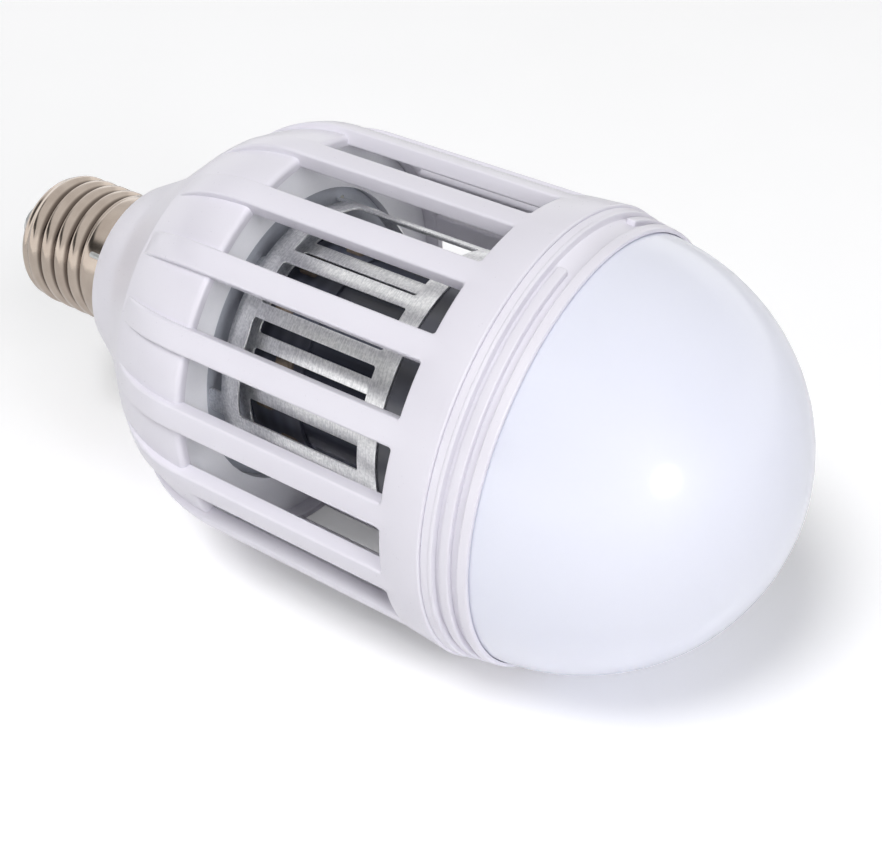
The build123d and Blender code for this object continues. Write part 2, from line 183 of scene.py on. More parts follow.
def piece(name, shells, material, replaces):
    """Joins shells of points and quads into one object that rides on the frame.

    The points are scaled to metres, doubles are welded, which also closes poles and seams, faces are
    turned outwards, and edges bent by more than the sharp angle stay crisp under smooth shading.
    """
    starts = np.cumsum([0] + [len(points) for points, faces in shells])
    points = np.concatenate([points for points, faces in shells])
    faces = np.concatenate([faces + start for (_, faces), start in zip(shells, starts)])
    mesh = bpy.data.meshes.new(name)
    mesh.from_pydata((points * MM).tolist(), [], faces.tolist())
    welded = bmesh.new()
    welded.from_mesh(mesh)
    bmesh.ops.remove_doubles(welded, verts=welded.verts, dist=WELD * MM)
    loose = [edge for edge in welded.edges if not edge.link_faces]
    bmesh.ops.delete(welded, geom=loose, context="EDGES")
    bmesh.ops.recalc_face_normals(welded, faces=welded.faces)
    open_edges = sum(edge.is_boundary for edge in welded.edges)
    welded.to_mesh(mesh)
    welded.free()
    mesh.shade_smooth()
    mesh.set_sharp_from_angle(angle=radians(SHARP_ANGLE))
    mesh.materials.append(material)
    made = bpy.data.objects.new(name, mesh)
    bpy.context.scene.collection.objects.link(made)
    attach(made, "root")
    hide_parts(*replaces)
    made_pieces.append(made)
    print(name, "has", len(mesh.polygons), "faces and", open_edges, "open edges")
    return made


def mark(made, name, measure):
    """Stores on each point of a piece what measure makes of the point's station and angle."""
    mesh = made.data
    flat = np.empty(3 * len(mesh.vertices), np.float32)
    mesh.vertices.foreach_get("co", flat)
    x, y, z = (flat.reshape(-1, 3) / MM).T
    values = measure(x, np.arctan2(z, y)).astype(np.float32)
    mesh.attributes.new(name, "FLOAT", "POINT").data.foreach_set("value", values)
    print(made.name, name, "runs from", round(float(values.min()), 2), "to", round(float(values.max()), 2))

# %% [markdown]
# ## Building materials from nodes
#
# A finish is a small graph: a pattern in Object coordinates drives colour, roughness and bump of one
# Principled BSDF. Patterns are sized in millimetres, because a grain that is right at the real size is
# right from every side. Colours are written as sRGB hex, as a paint program shows them, and turned
# to the linear values that shaders expect.

# %% Colour, nodes and the start of a material
def colour(written):
    """An sRGB hex value as the linear colour that a shader takes."""
    channels = np.array([int(written[i:i + 2], 16) for i in (0, 2, 4)]) / 255
    linear = np.where(channels <= 0.04045, channels / 12.92, ((channels + 0.055) / 1.055) ** 2.4)
    return (*linear.tolist(), 1.0)


def per_metre(millimetres):
    """How many of a pattern's features of this size fit in a metre, which is a texture's scale."""
    return 1 / (millimetres * MM)


def add_node(tree, kind, sockets=None, **settings):
    """Adds one node with its settings, and gives each named socket a value or a link."""
    node = tree.nodes.new(kind)
    for name, value in settings.items():
        setattr(node, name, value)
    for name, value in (sockets or {}).items():
        if isinstance(value, bpy.types.NodeSocket):
            tree.links.new(value, node.inputs[name])
        else:
            node.inputs[name].default_value = value
    return node


def new_material(name, build):
    """A material whose shader is what build returns, given the node tree and Object coordinates."""
    made = bpy.data.materials.new(name)
    made.use_nodes = True
    tree = made.node_tree
    tree.nodes.clear()
    place = add_node(tree, "ShaderNodeTexCoord").outputs["Object"]
    shader = build(tree, place)
    add_node(tree, "ShaderNodeOutputMaterial", {"Surface": shader.outputs[0]})
    return made


print("mid grey in linear light:", round(colour("808080")[0], 3))

# %% [markdown]
# Many finishes share one recipe. One fine noise moves colour, roughness and bump together, because on
# a real surface the same grain does all three. Stretching it turns grain into drawn or brushed lines.

# %% A grained finish
def grained(
    dark, light, grain, roughness, metallic=0.0, bump=0.2, stretch=(1, 1, 1), detail=3.0, depth=None, **more,
):
    """A finish from two colours, the grain's size in millimetres and a range of roughness.

    The bump is a tenth of the grain deep unless a depth is given. More sockets are given by name.
    """
    def build(tree, place):
        laid = add_node(tree, "ShaderNodeMapping", {"Vector": place, "Scale": stretch})
        noise = add_node(
            tree, "ShaderNodeTexNoise",
            {"Vector": laid.outputs["Vector"], "Scale": per_metre(grain), "Detail": detail},
        ).outputs["Fac"]
        tint = add_node(
            tree, "ShaderNodeMix", {"Factor": noise, 6: colour(dark), 7: colour(light)}, data_type="RGBA",
        )
        gloss = add_node(
            tree, "ShaderNodeMapRange", {"Value": noise, "To Min": roughness[0], "To Max": roughness[1]},
        )
        height = add_node(
            tree, "ShaderNodeBump",
            {"Height": noise, "Strength": bump, "Distance": (depth or 0.1 * grain) * MM},
        )
        return add_node(tree, "ShaderNodeBsdfPrincipled", {
            "Base Color": tint.outputs[2],
            "Metallic": metallic,
            "Roughness": gloss.outputs["Result"],
            "Normal": height.outputs["Normal"],
            **more,
        })
    return build

# %% [markdown]
# ## White moulded plastic
#
# The cage and the collar are injection-moulded ABS. Out of the mould it is semi-gloss, with a very
# fine orange peel that softens reflections, and a cool white that wanders slightly where the melt
# flowed. A fine noise gives the peel, a broad one the flow.

# %% Moulded ABS
ABS_FLOW = 22.0  # width of the flow marks
ABS_PEEL = 0.5   # width of the orange peel


def moulded_abs(tree, place):
    """Injection-moulded ABS: a cool white, semi-gloss, with orange peel that softens reflections."""
    flow, peel = (
        add_node(
            tree, "ShaderNodeTexNoise", {"Vector": place, "Scale": per_metre(size), "Detail": detail},
        ).outputs["Fac"]
        for size, detail in ((ABS_FLOW, 2.0), (ABS_PEEL, 3.0))
    )
    tint = add_node(
        tree, "ShaderNodeMix",
        {"Factor": flow, 6: colour("DFDCE6"), 7: colour("E6E4EC")}, data_type="RGBA",
    )
    gloss = add_node(
        tree, "ShaderNodeMapRange", {"Value": peel, "To Min": 0.24, "To Max": 0.36},
    )
    bump = add_node(
        tree, "ShaderNodeBump", {"Height": peel, "Strength": 0.12, "Distance": 0.02 * MM},
    )
    return add_node(tree, "ShaderNodeBsdfPrincipled", {
        "Base Color": tint.outputs[2],
        "Roughness": gloss.outputs["Result"],
        "Normal": bump.outputs["Normal"],
        "IOR": 1.54,
    })


white_plastic = new_material("moulded_abs", moulded_abs)

# %% [markdown]
# ## The cage housing
#
# The housing is one moulding: a short bare neck, a shoulder that opens in two cones and an arc, and
# eighteen ribs that grow out of the shoulder and run free to a wide band. It could be one solid with
# booleans and a Bevel modifier, but bevels fail where ribs run into a curved wall. The shoulder is
# turned from one closed outline. The ribs and the band are one barred wall: a half rib and half a slot
# repeat thirty-six times, each second one mirrored, so that every edge has its own even rounding.

# %% Sizes of the housing
NECK_RADIUS = 13.9
CONE_START, CONE_RADIUS = 34.4, 17.7
BEND = (44.2, 22.91)
CREASE = (56.44, 32.93)
SHOULDER_END = 74.56
SLOT_START = 75.66
BAND_START = 118.16
SEAM_RADIUS = 40.0
RIB_CIRCLE = 39.4
PANEL_RADIUS = 38.2
CAGE_BORE = 36.5
COVER_BORE = 36.2
LEDGE_BORE = 34.3
LIP_HEIGHT = 1.5
WALL = 2.0
SPIGOT_RADIUS = 11.8
SPIGOT_BORE = 9.9
SKIRT_START = 27.1
SKIRT_BORE = 12.75
RIB_COUNT = 18
RIB_WIDTH = 4.5
RIB_PHASE = radians(92)
SLOT_CORNER = 0.5
RIB_ROUNDING = 0.45
RIM_ROUNDING = 0.9
SEAM_ROUNDING = 0.35
EDGE_ROUNDING = 0.3
STEP_ROUNDING = 0.5
LIP_ROUNDING = 0.4
NECK_CURVE, SHOULDER_CURVE = 34.0, 6.0
BAND_LIP = 34.6
OVERLAP = 0.2  # how far the parts of one moulding run into each other


def arc_top(run, drop):
    """Radius of an arc that is level at one end and has fallen by drop after run."""
    return (run**2 + drop**2) / (2 * drop)


PANEL_ARC = arc_top(SLOT_START - CREASE[0], PANEL_RADIUS - CREASE[1])
RIB_SINK = 0.3
RIB_ARC = arc_top(SHOULDER_END - CREASE[0], RIB_CIRCLE - CREASE[1] + RIB_SINK)


def panel_surface(x):
    """Radius of the panels between the ribs: an arc that is level where the slots begin."""
    back = np.minimum(x - SLOT_START, 0)
    return PANEL_RADIUS - PANEL_ARC + np.sqrt(PANEL_ARC**2 - back**2)


def rib_top(x):
    """Radius of the ribs' backs: an arc, then level, then the band's slight cone."""
    back = np.minimum(x - SHOULDER_END, 0)
    flare = np.clip((x - BAND_START) / (SEAM - BAND_START), 0, 1) * (SEAM_RADIUS - RIB_CIRCLE)
    return RIB_CIRCLE - RIB_ARC + np.sqrt(RIB_ARC**2 - back**2) + flare


def rib_bottom(x):
    """Radius of the ribs' undersides: hidden in the shoulder's wall, then level with the bore."""
    return np.minimum(panel_surface(x) - (PANEL_RADIUS - CAGE_BORE), CAGE_BORE)


print("panel arc", round(PANEL_ARC, 2), "and rib arc", round(RIB_ARC, 2))

# %% The turned neck and shoulder
panel_x = np.linspace(CREASE[0], SLOT_START - 2 * RIM_ROUNDING, 14)
inner_x = np.linspace(COVER_BACK - LIP_HEIGHT, CREASE[0] + WALL / 2, 8)
panel_line = pairs(panel_x, panel_surface(panel_x))
inner_line = pairs(inner_x, panel_surface(inner_x) - WALL)
shoulder_outline = outline(
    (NECK_START, NECK_RADIUS, EDGE_ROUNDING),
    (CONE_START, NECK_RADIUS, STEP_ROUNDING),
    (CONE_START, CONE_RADIUS, STEP_ROUNDING),
    (*BEND, NECK_CURVE),
    (*CREASE, SHOULDER_CURVE),
    *panel_line[1:],
    (SLOT_START, PANEL_RADIUS, RIM_ROUNDING),
    (SLOT_START, COVER_BORE, EDGE_ROUNDING),
    (COVER_BACK, COVER_BORE),
    (COVER_BACK, LEDGE_BORE),
    (COVER_BACK - LIP_HEIGHT, LEDGE_BORE),
    *inner_line,
    (BEND[0] + WALL / 2, BEND[1] - WALL),
    (CONE_START + WALL, CONE_RADIUS - WALL / 2),
    (CONE_START + WALL, SPIGOT_BORE),
    (SPIGOT_START, SPIGOT_BORE),
    (SPIGOT_START, SPIGOT_RADIUS, EDGE_ROUNDING),
    (SKIRT_START, SPIGOT_RADIUS),
    (SKIRT_START, SKIRT_BORE),
    (NECK_START, SKIRT_BORE),
)
shoulder = turned(shoulder_outline)
print("the shoulder's outline has", len(shoulder_outline), "points")

# %% [markdown]
# A barred wall repeats one corner of an opening. Its grid has a column for each point of the
# opening's edge. A column starts at the repeat's border, runs over the top to the edge, round it by a
# quarter circle, down the side, round again, and back below. Mirroring and turning whole arrays
# of angles gives the full ring, and welding joins the copies.

# %% A barred wall
def barred_wall(edge, inward, border, at_end, top, bottom, rounding, end_rounding):
    """Half a repeat of a wall with openings, as grids of station, side distance and radius.

    Rounding a corner moves a point by rounding times one minus the sine of the bend angle inwards,
    and by rounding times one minus its cosine down. The border is rounded the same way at its ends.
    """
    bend = np.radians(np.linspace(0, 90, 5))[:, None]
    flat = np.zeros_like(bend)
    end_x = border[:, 0] - at_end * end_rounding * (1 - np.cos(bend))
    end_r = top(end_x) - np.abs(at_end) * end_rounding * (1 - np.sin(bend))
    edge_x = edge[:, 0] + inward[:, 0] * rounding * (1 - np.sin(bend))
    edge_side = edge[:, 1] + inward[:, 1] * rounding * (1 - np.sin(bend))
    drop = rounding * (1 - np.cos(bend))
    x = np.concatenate((end_x, edge_x, edge_x[::-1], border[None, :, 0]))
    side = np.concatenate((border[:, 1] + flat, edge_side, edge_side[::-1], border[None, :, 1]))
    under = (bottom(edge_x) + drop)[::-1]
    r = np.concatenate((end_r, top(edge_x) - drop, under, bottom(border[None, :, 0])))
    faces = grid_faces(*x.shape, wrap_rows=True).reshape(x.shape[0], x.shape[1] - 1, 4)
    closed = (at_end[1:] * at_end[:-1]) > 0
    return x, side, r, np.concatenate((faces[:-1].reshape(-1, 4), faces[-1][closed]))


def ring_of(x, r, offset, faces, count, phase):
    """Copies of a half repeat and its mirror image, spaced evenly round the axis."""
    turn = phase + np.arange(count)[:, None] * 2 * pi / count
    angle = turn[..., None, None] + np.array([1, -1])[None, :, None, None] * offset
    points = round_axis(x, r, angle)
    copies = np.arange(2 * count)[:, None, None] * x.size
    return points, (faces + copies).reshape(-1, 4)


# %% The ribs and the band
half_rib = RIB_WIDTH / 2
corner_side = half_rib + SLOT_CORNER
middle_side = SEAM_RADIUS * sin(pi / RIB_COUNT)
root = CREASE[0] - 1.0  # hidden in the shoulder's wall
corner_x = BAND_START - SLOT_CORNER
level_x = np.linspace(SHOULDER_END, corner_x, 16)[1:-1]
flank_x = np.concatenate((np.linspace(root, SHOULDER_END, 30), level_x))
flank = pairs(flank_x, half_rib)
sweep = np.radians(np.linspace(0, 90, 9))
corner_way = pairs(np.sin(sweep), -np.cos(sweep))
corner = np.array((corner_x, corner_side)) + SLOT_CORNER * corner_way
band_side = np.linspace(corner_side, middle_side, 8)[1:]
band_edge = pairs(BAND_START, band_side)
edge = np.concatenate((((root, 0.0),), flank, corner, band_edge))
inward = np.concatenate((
    ((0.0, 0.0),),
    np.tile((0.0, -1.0), (len(flank), 1)),
    corner_way,
    np.tile((1.0, 0.0), (len(band_edge), 1)),
))
border = np.concatenate((
    ((root, 0.0),),
    flank * (1, 0),
    pairs(np.linspace(corner_x, SEAM, 5), 0.0),
    pairs(SEAM, np.linspace(0, corner_side, 5)[1:]),
    pairs(SEAM, band_side),
))
at_seam = (border[:, 0] > SEAM - WELD).astype(float)
wall_x, wall_side, wall_r, wall_faces = barred_wall(
    edge, inward, border, at_seam, rib_top, rib_bottom, RIB_ROUNDING, SEAM_ROUNDING,
)

# Ribs are parallel-sided, so their angle is an arcsine; the slots end half a repeat on at every radius.
spread = np.clip((wall_side - corner_side) / (middle_side - corner_side), 0, 1)
even_angle = (pi / RIB_COUNT) * wall_side / middle_side
wall_angle = np.arcsin(wall_side / wall_r) * (1 - spread) + even_angle * spread
ribs_and_band = ring_of(wall_x, wall_r, wall_angle, wall_faces, RIB_COUNT, RIB_PHASE)

# %% The band's inner lip, and the housing as one piece
band_lip = turned(outline(
    (BAND_START + OVERLAP, CAGE_BORE + OVERLAP),
    (BAND_START + OVERLAP, BAND_LIP, LIP_ROUNDING),
    (FLANGE_BACK, BAND_LIP, EDGE_ROUNDING),
    (FLANGE_BACK, CAGE_BORE + OVERLAP),
))
piece("housing", [shoulder, ribs_and_band, band_lip], white_plastic, ["cage_housing"])

# %% [markdown]
# ## The collar
#
# A separate white ring covers the seam between the cage and the dome. Round it runs a channel, and in
# the channel stand two long finger grips with rounded ends. The ring is turned from one outline. A
# grip is a rounded strip wrapped on a cylinder: an inner rectangle's border, pushed out by the corner
# radius in every direction, then lifted and rounded at the top.

# %% A rounded plate wrapped round the axis
def wrapped_plate(x_span, angle_span, low, high, corner, rounding, steps=120):
    """A plate with rounded corners and top edges, on a cylinder.

    Its outline is an inner rectangle plus the corner radius times the direction (cos a, sin a), where
    a turns by a quarter at each corner. Pulling the radius in by rounding times one minus cosine while
    rising by rounding times sine rounds the top edge. Sides are measured at the top's radius.
    """
    x_low, x_high = x_span[0] + corner, x_span[1] - corner
    side_low, side_high = angle_span[0] * high + corner, angle_span[1] * high - corner
    quarter = np.linspace(0, pi / 2, CORNER_STEPS)
    along = np.linspace(side_low, side_high, steps)
    half_way = np.concatenate((np.zeros(steps), quarter, quarter + pi / 2))
    way = np.concatenate((half_way, half_way + pi))
    counts = (steps, CORNER_STEPS, CORNER_STEPS)
    core_x = np.repeat((x_high, x_high, x_low, x_low, x_low, x_high), 2 * counts)
    corners = np.ones(2 * CORNER_STEPS)
    core_side = np.concatenate((along, corners * side_high, along[::-1], corners * side_low))
    bend = np.radians(np.linspace(0, 90, 5))[:, None]
    reach = np.concatenate(([[corner]], corner - rounding * (1 - np.cos(bend))))
    lift = np.concatenate(([[low]], high - rounding * (1 - np.sin(bend))))
    x = core_x + reach * np.cos(way)
    side = core_side + reach * np.sin(way)
    middle = np.full_like(x[:1], (x_low + x_high) / 2)
    x = np.concatenate((middle, x, middle))
    side = np.concatenate((core_side[None], side, core_side[None]))
    r = np.concatenate(([[low]], lift, [[high]]))
    points = round_axis(x, r, side / high)
    return points, grid_faces(*x.shape, wrap_columns=True)


# %% The collar's ring and grips
COLLAR_LENGTH = span("collar_ring")[1][0] - SEAM
COLLAR_RIDGE = 39.7
COLLAR_SLOPE = 1.4 / 7.6
CHANNEL_START, CHANNEL_END, CHANNEL_DEPTH = 2.0, 6.0, 1.0
CHANNEL_DRAFT = 0.15
SEAM_MARGIN, SEAM_FALL = 1.3, 0.12  # the strip at the seam lies this much lower
RIDGE_START, RIDGE_RISE = 1.5, 0.02
GRIP_START, GRIP_WIDTH, GRIP_HEIGHT = 2.9, 1.7, 0.85
GRIP_CORNER, GRIP_ROUNDING = 0.5, 0.3
COLLAR_EDGE, MARGIN_EDGE, CHANNEL_EDGE = 0.25, 0.2, 0.15
GRIP_ANGLES = ((radians(102), radians(252)), (radians(282), radians(432)))
PLATE_FRONT = span("heat_plate")[1][0]
BOARD_BORE = 31.6
COLLAR_BORE = 35.0
DOME_SEAT = span("diffuser_dome")[0][0]
DOME_BASE = float(span("diffuser_dome")[1][2])
DOME_GAP, CAGE_GAP = 0.05, 0.1


def collar_surface(reach, depth=0.0, rounding=0.0):
    """A point on the collar's slight cone, at a reach from the seam and a depth below the surface."""
    return (SEAM + reach, COLLAR_RIDGE - COLLAR_SLOPE * reach - depth, rounding)


collar_outline = outline(
    (SEAM, CAGE_BORE - CAGE_GAP),
    collar_surface(0, SEAM_FALL, COLLAR_EDGE),
    collar_surface(SEAM_MARGIN, SEAM_FALL, MARGIN_EDGE),
    collar_surface(RIDGE_START, -RIDGE_RISE, CHANNEL_EDGE),
    collar_surface(CHANNEL_START, -RIDGE_RISE, COLLAR_EDGE),
    collar_surface(CHANNEL_START + CHANNEL_DRAFT, CHANNEL_DEPTH, CHANNEL_EDGE),
    collar_surface(CHANNEL_END - CHANNEL_DRAFT, CHANNEL_DEPTH, CHANNEL_EDGE),
    collar_surface(CHANNEL_END, 0, COLLAR_EDGE),
    collar_surface(COLLAR_LENGTH, 0, SEAM_ROUNDING),
    (SEAM + COLLAR_LENGTH, DOME_BASE + DOME_GAP),
    (DOME_SEAT, DOME_BASE + DOME_GAP),
    (DOME_SEAT, COLLAR_BORE),
    (SEAM, COLLAR_BORE),
    (SEAM, BOARD_BORE),
    (PLATE_FRONT, BOARD_BORE),
    (PLATE_FRONT, CAGE_BORE - CAGE_GAP),
)
grip_low = COLLAR_RIDGE - COLLAR_SLOPE * (GRIP_START + GRIP_WIDTH / 2) - CHANNEL_DEPTH
grip_reach = (SEAM + GRIP_START, SEAM + GRIP_START + GRIP_WIDTH)
grip_shape = (grip_low - OVERLAP, grip_low + GRIP_HEIGHT, GRIP_CORNER, GRIP_ROUNDING)
grips = [wrapped_plate(grip_reach, angles, *grip_shape) for angles in GRIP_ANGLES]
piece("collar", [turned(collar_outline), *grips], white_plastic, ["collar_ring"])

# %% [markdown]
# ## The frosted dome
#
# The dome is blow-moulded opal polycarbonate. Its shape is half of an ellipsoid, a little longer than
# it is wide. A UV sphere, scaled, would do for the outside, but a turned outline gives the wall and the
# seat too. Opal plastic lets light sink in and come out again a few millimetres on, which softens its
# shading, and the moulded skin still carries a clear soft highlight, so the material has a coat.

# %% Opal polycarbonate and the dome
DOME_LENGTH, DOME_RADIUS, DOME_WALL = 38.8, 37.7, 1.5
DOME_CENTRE = span("diffuser_dome")[1][0] - DOME_LENGTH


def opal_polycarbonate(tree, place):
    """Blow-moulded opal plastic: light spreads inside it, and its skin gives a soft clear highlight."""
    cloud = add_node(tree, "ShaderNodeTexNoise", {"Vector": place, "Scale": per_metre(30), "Detail": 1.5})
    frost = add_node(tree, "ShaderNodeTexNoise", {"Vector": place, "Scale": per_metre(0.4), "Detail": 2.0})
    tint = add_node(
        tree, "ShaderNodeMix",
        {"Factor": cloud.outputs["Fac"], 6: colour("E3E6FA"), 7: colour("EAECFD")}, data_type="RGBA",
    )
    bump = add_node(
        tree, "ShaderNodeBump", {"Height": frost.outputs["Fac"], "Strength": 0.08, "Distance": 0.02 * MM},
    )
    return add_node(tree, "ShaderNodeBsdfPrincipled", {
        "Base Color": tint.outputs[2],
        "Roughness": 0.45,
        "Normal": bump.outputs["Normal"],
        "IOR": 1.58,
        "Subsurface Weight": 0.35,
        "Subsurface Radius": (1.0, 1.0, 1.1),
        "Subsurface Scale": 5 * MM,
        "Coat Weight": 0.7,
        "Coat Roughness": 0.14,
    })


def dome_skin(inset, direction):
    """Points of the dome's ellipse, moved in by an inset, from its pole to the seat or back."""
    length, radius = DOME_LENGTH - inset, DOME_RADIUS - inset
    seat = np.arccos((DOME_SEAT - DOME_CENTRE) / length)
    share = np.linspace(0, seat, 72)[::direction]
    return pairs(DOME_CENTRE + length * np.cos(share), radius * np.sin(share))


diffuser = new_material("opal_polycarbonate", opal_polycarbonate)
dome_profile = np.concatenate((dome_skin(0, 1), dome_skin(DOME_WALL, -1)))
piece("dome", [turned(dome_profile, closed=False)], diffuser, ["diffuser_dome"])

# %% [markdown]
# ## The electrodes
#
# Two rings of stamped tinplate stand one inside the other, with long windows between narrow strips.
# The strips of the inner ring stand behind the windows of the outer one, so that an insect bridges
# both. Sheet this thin could be a plane with a Solidify modifier. The barred wall from above makes it
# with true thickness and the small radius that a punch leaves in each window corner. Feet with
# rounded corners stand on the holder.

# %% Tinplate
SHEET = 0.4
TIN_STREAK = (0.22, 1.6, 1.6)  # rolled grain: fine along the lamp, long round it


def tinplate(tree, place):
    """Rolled and tinned sheet: a bright grey metal that sparkles in a fine grain round the ring."""
    stretch = tuple(per_metre(size) for size in TIN_STREAK)
    rolled = add_node(tree, "ShaderNodeMapping", {"Vector": place, "Scale": stretch}).outputs["Vector"]
    streak = add_node(tree, "ShaderNodeTexNoise", {"Vector": rolled, "Scale": 1.0, "Detail": 3.0})
    speck = add_node(tree, "ShaderNodeTexNoise", {"Vector": place, "Scale": per_metre(0.45), "Detail": 4.0})
    cloud = add_node(tree, "ShaderNodeTexNoise", {"Vector": place, "Scale": per_metre(7), "Detail": 2.0})
    grain = add_node(
        tree, "ShaderNodeMath", {0: streak.outputs["Fac"], 1: speck.outputs["Fac"]}, operation="MULTIPLY",
    ).outputs["Value"]
    tint = add_node(
        tree, "ShaderNodeMapRange", {"Value": grain, "From Min": 0.14, "From Max": 0.36},
    )
    base = add_node(
        tree, "ShaderNodeMix",
        {"Factor": tint.outputs["Result"], 6: colour("DCDDDE"), 7: colour("FFFFFF")}, data_type="RGBA",
    )
    gloss = add_node(
        tree, "ShaderNodeMapRange", {"Value": cloud.outputs["Fac"], "To Min": 0.24, "To Max": 0.46},
    )
    bump = add_node(
        tree, "ShaderNodeBump", {"Height": grain, "Strength": 0.5, "Distance": 0.06 * MM},
    )
    return add_node(tree, "ShaderNodeBsdfPrincipled", {
        "Base Color": base.outputs[2],
        "Metallic": 1.0,
        "Roughness": gloss.outputs["Result"],
        "Normal": bump.outputs["Normal"],
    })


tin = new_material("rolled_tinplate", tinplate)

# %% The windowed rings and their feet
STRIP_COUNT = 15
STRIP_WIDTH = 2.7
END_RING = 3.8
WINDOW_CORNER = 0.5
PUNCH_ROUNDING = 0.1
FOOT_WIDTH = 4.7
FOOT_LENGTH = 3.0
FOOT_LAP = 1.5      # how far a foot runs up behind the ring
FOOT_SINK = 0.01    # how far it lies below the ring's face
FOOT_CORNER = 0.8


def windowed_ring(radius, end, phase):
    """A sheet ring with lengthwise windows, from half a strip and half a window."""
    start = HOLDER_FRONT + FOOT_LENGTH
    low, high = start + END_RING, end - END_RING
    half_strip = STRIP_WIDTH / 2
    round_side = half_strip + WINDOW_CORNER
    side = np.linspace(radius * pi / STRIP_COUNT, round_side, 6)[:-1]
    turn = np.radians(np.linspace(0, 90, 7))
    first_way = pairs(-np.cos(turn), -np.sin(turn))
    second_way = pairs(np.sin(turn), -np.cos(turn))
    first = np.array((low + WINDOW_CORNER, round_side)) + WINDOW_CORNER * first_way
    second = np.array((high - WINDOW_CORNER, round_side)) + WINDOW_CORNER * second_way
    low_edge = pairs(low, side)
    high_edge = pairs(high, side)[::-1]
    edge = np.concatenate((low_edge, first, second, high_edge))
    inward = np.concatenate((
        np.tile((-1.0, 0.0), (len(side), 1)), first_way, second_way, np.tile((1.0, 0.0), (len(side), 1)),
    ))
    down = pairs(start, np.linspace(round_side, 0, 4))
    along = pairs(np.linspace(start, low + WINDOW_CORNER, 4)[1:], 0.0)
    border = np.concatenate((low_edge * (0, 1) + (start, 0), down, along))
    mirrored = border[::-1] * (-1, 1) + (start + end, 0)
    border = np.concatenate((border, mirrored))
    at_end = (border[:, 0] > end - WELD) * 1.0 - (border[:, 0] < start + WELD)
    x, side, r, faces = barred_wall(
        edge, inward, border, at_end, lambda x: radius + 0 * x, lambda x: radius - SHEET + 0 * x,
        PUNCH_ROUNDING, PUNCH_ROUNDING,
    )
    return ring_of(x, r, side / radius, faces, STRIP_COUNT, phase)


def feet(radius, phase):
    """Three tabs with rounded corners that stand on the holder."""
    half = FOOT_WIDTH / 2 / radius
    x_span = (HOLDER_FRONT, HOLDER_FRONT + FOOT_LENGTH + FOOT_LAP)
    shape = (radius - SHEET, radius - FOOT_SINK, FOOT_CORNER, PUNCH_ROUNDING, 12)
    turns = np.radians((phase, phase + 120, phase + 240))
    return [wrapped_plate(x_span, (turn - half, turn + half), *shape) for turn in turns]


for name, node, phase, foot_phase in (
    ("outer_ring", "outer_electrode", 17.5, 60), ("inner_ring", "inner_electrode", 29.5, 0),
):
    radius = float(span(node)[1][2])
    ring = windowed_ring(radius, span(node)[1][0], radians(phase))
    piece(name, [ring, *feet(radius, foot_phase)], tin, [node])

# %% [markdown]
# ## The core and its UV LEDs
#
# Inside the electrodes stands a dark glossy tube. Near the holder it carries a band of flexible
# circuit with small amber-domed UV LEDs in two staggered rows, whose glow draws the insects in. The
# tube and the band are turned; an LED is a small wrapped plate with a lens on it.

# %% Dark glossy tube, flexible board and LED cases
def flexible_board(tree, place):
    """Polyimide-like film with dark lacquer: satin, with faint lengthwise copper tracks under it."""
    tracks = add_node(
        tree, "ShaderNodeTexWave", {"Vector": place, "Scale": per_metre(1.4) / (2 * pi)},
        bands_direction="X",
    )
    tint = add_node(
        tree, "ShaderNodeMix",
        {"Factor": tracks.outputs["Fac"], 6: colour("3E414D"), 7: colour("4B4E5B")}, data_type="RGBA",
    )
    return add_node(tree, "ShaderNodeBsdfPrincipled", {"Base Color": tint.outputs[2], "Roughness": 0.4})


# Extruded and polished dark plastic: clear reflections, broken by very faint lines along the draw.
core_finish = new_material("polished_dark_tube", grained(
    "3A3D49", "4A4D5A", 0.8, (0.16, 0.30), bump=0.0, stretch=(0.8 / 60, 1, 1), detail=2.0,
))
flex_finish = new_material("lacquered_flex_board", flexible_board)
# Moulded case with an amber silicone lens: glossy, slightly uneven.
led_finish = new_material("amber_led_case", grained(
    "655B52", "85776A", 1.2, (0.25, 0.25), bump=0.0, detail=2.0, IOR=1.45,
))

# %% The core tube, the band and the LEDs
CORE_RADIUS = float(span("core_sleeve")[1][2])
CORE_WALL = 1.6
piece("core_tube", [turned(outline(
    (HOLDER_FRONT, CORE_RADIUS), (FLANGE_BACK, CORE_RADIUS),
    (FLANGE_BACK, CORE_RADIUS - CORE_WALL), (HOLDER_FRONT, CORE_RADIUS - CORE_WALL),
))], core_finish, ["core_sleeve"])

strip_low, strip_high = span("uv_led_strip")
STRIP_RADIUS = float(strip_high[2])
STRIP_ROUNDING = 0.15
piece("uv_band", [turned(outline(
    (strip_low[0], STRIP_RADIUS, STRIP_ROUNDING), (strip_high[0], STRIP_RADIUS, STRIP_ROUNDING),
    (strip_high[0], CORE_RADIUS), (strip_low[0], CORE_RADIUS),
))], flex_finish, ["uv_led_strip"])

